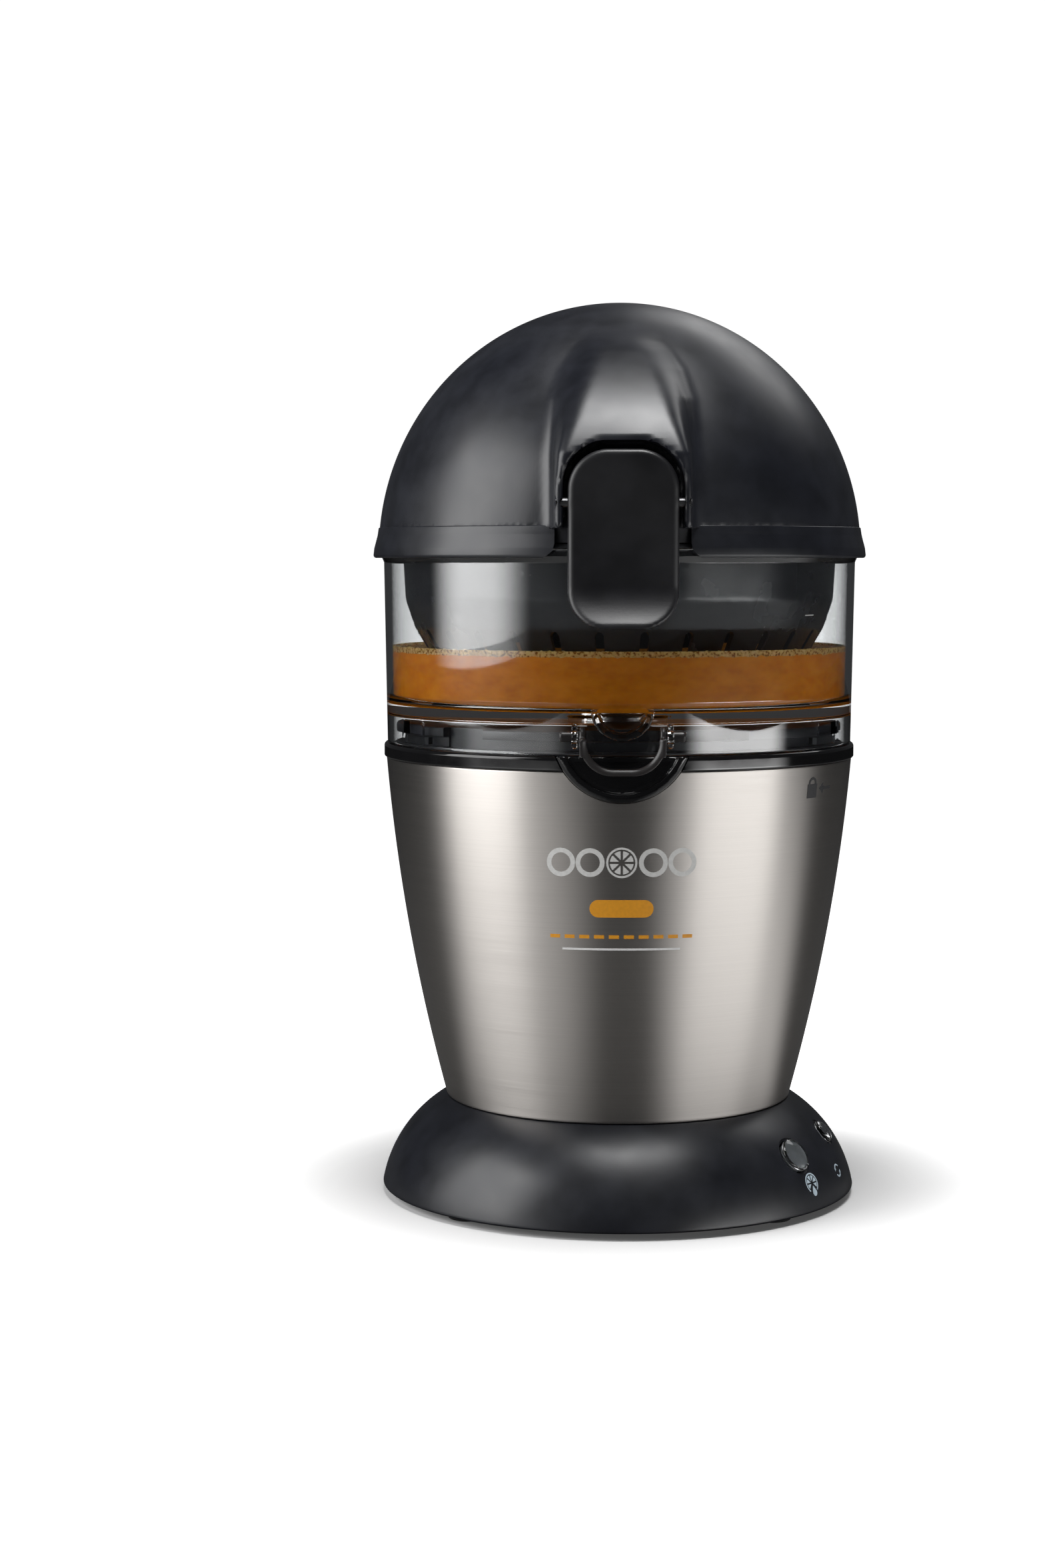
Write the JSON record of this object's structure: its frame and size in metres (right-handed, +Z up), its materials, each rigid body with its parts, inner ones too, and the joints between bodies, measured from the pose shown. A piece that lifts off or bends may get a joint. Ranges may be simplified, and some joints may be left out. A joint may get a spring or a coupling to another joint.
{
  "type": "citrus press juicer",
  "caption": "Motorised citrus juicer: domed lid with latches, climbing reamer, slotted basket, clear jar with a tipping spout, and a steel body on a round base.",
  "frame": {"origin": "on the table, under the middle of the body", "axes": "+Z up, -Y the front with the spout, +X to the right of someone facing the front"},
  "size_m": [0.176, 0.208, 0.3183],
  "materials": {
    "satin_black": "satin",
    "latch_black": "matte",
    "gloss_black": "gloss",
    "brushed_steel": "satin",
    "bright_steel": "polished",
    "clear_plastic": "gloss",
    "smoke": "satin",
    "button_grey": "gloss",
    "natural_plastic": "satin",
    "rubber": "matte",
    "brass": "satin",
    "copper": "satin",
    "board": "matte"
  },
  "bodies": {
    "housing": {"base_shell": "satin_black", "bottom_plate": "satin_black", "foot_front_right": "rubber", "foot_rear_right": "rubber", "foot_rear_left": "rubber", "foot_front_left": "rubber", "base_screw_1": "bright_steel", "base_screw_2": "bright_steel", "base_screw_3": "bright_steel", "base_screw_4": "bright_steel", "cord_inlet": "rubber", "control_board": "board", "start_switch": "satin_black", "return_switch": "satin_black", "steel_shell": "brushed_steel", "top_ring": "gloss_black", "spout_bezel": "satin_black", "deck": "satin_black", "screw_guide": "satin_black", "deck_seal": "rubber", "spindle_nut": "brass", "gearbox_base": "natural_plastic", "gearbox_cover": "natural_plastic", "idler_axle": "bright_steel", "motor_can": "bright_steel", "motor_end_cap": "satin_black"},
    "motor_shaft": {"motor_rotor": "copper", "motor_pinion": "brass"},
    "idler": {"idler_gear": "natural_plastic"},
    "main_gear": {"main_gear": "natural_plastic"},
    "lead_screw": {"lead_screw": "bright_steel"},
    "reamer": {"reamer_cone": "smoke"},
    "jar": {"jar": "clear_plastic", "jar_floor": "clear_plastic", "jar_outlet": "clear_plastic"},
    "spout": {"spout_chute": "satin_black"},
    "basket": {"strainer_basket": "smoke"},
    "lid": {"lid_dome": "satin_black", "lid_hood_front": "satin_black", "lid_hood_rear": "satin_black", "press_cup": "smoke", "press_cup_crown": "smoke", "latch_pin_front": "bright_steel", "latch_pin_rear": "bright_steel"},
    "front_latch": {"latch_front": "latch_black"},
    "rear_latch": {"latch_rear": "latch_black"},
    "start_button": {"start_button": "button_grey"},
    "return_button": {"return_button": "button_grey"}
  },
  "joints": [
    {"name": "motor_spin", "type": "hinge", "parent": "housing", "child": "motor_shaft", "pos_m": [-0.01685, 0.02838, 0.08], "axis": [0, 0, 1], "range_deg": [0, 10800]},
    {"name": "idler_spin", "type": "hinge", "parent": "housing", "child": "idler", "pos_m": [-0.039, 0, 0.12], "axis": [0, 0, 1], "range_deg": [-3601, 0]},
    {"name": "main_gear_spin", "type": "hinge", "parent": "housing", "child": "main_gear", "pos_m": [0, 0, 0.125], "axis": [0, 0, 1], "range_deg": [0, 1081]},
    {"name": "screw_rise", "type": "slide", "parent": "main_gear", "child": "lead_screw", "axis": [0, 0, 1], "range_m": [0, 0.0301]},
    {"name": "jar_twist", "type": "hinge", "parent": "housing", "child": "jar", "pos_m": [0, 0, 0.17], "axis": [0, 0, 1], "range_deg": [0, 18]},
    {"name": "spout_tip", "type": "hinge", "parent": "jar", "child": "spout", "pos_m": [0, -0.0875, 0.1695], "axis": [-1, 0, 0], "range_deg": [0, 60]},
    {"name": "lid_lift", "type": "slide", "parent": "jar", "child": "lid", "axis": [0, 0, 1], "range_m": [0, 0.16]},
    {"name": "basket_lift", "type": "slide", "parent": "jar", "child": "basket", "axis": [0, 0, 1], "range_m": [0, 0.0601]},
    {"name": "reamer_lift", "type": "slide", "parent": "lead_screw", "child": "reamer", "axis": [0, 0, 1], "range_m": [0, 0.1001]},
    {"name": "front_latch_swing", "type": "hinge", "parent": "lid", "child": "front_latch", "pos_m": [0, -0.0925, 0.2461], "axis": [-1, 0, 0], "range_deg": [0, 35]},
    {"name": "rear_latch_swing", "type": "hinge", "parent": "lid", "child": "rear_latch", "pos_m": [0, 0.0925, 0.2461], "axis": [1, 0, 0], "range_deg": [0, 35]},
    {"name": "start_press", "type": "slide", "parent": "housing", "child": "start_button", "axis": [-0.637, 0.4977, -0.5886], "range_m": [0, 0.0015], "stiffness_N_per_m": 400},
    {"name": "return_press", "type": "slide", "parent": "housing", "child": "return_button", "axis": [-0.7446, 0.1857, -0.6411], "range_m": [0, 0.0015], "stiffness_N_per_m": 400}
  ],
  "couplings": [
    {"joint": "idler_spin", "follows": "motor_spin", "ratio": -0.33333},
    {"joint": "main_gear_spin", "follows": "motor_spin", "ratio": 0.1},
    {"joint": "screw_rise", "follows": "motor_spin", "m_per_rad": 0.00015915},
    {"joint": "basket_lift", "follows": "lid_lift", "ratio": 0.375},
    {"joint": "reamer_lift", "follows": "lid_lift", "ratio": 0.625}
  ]
}
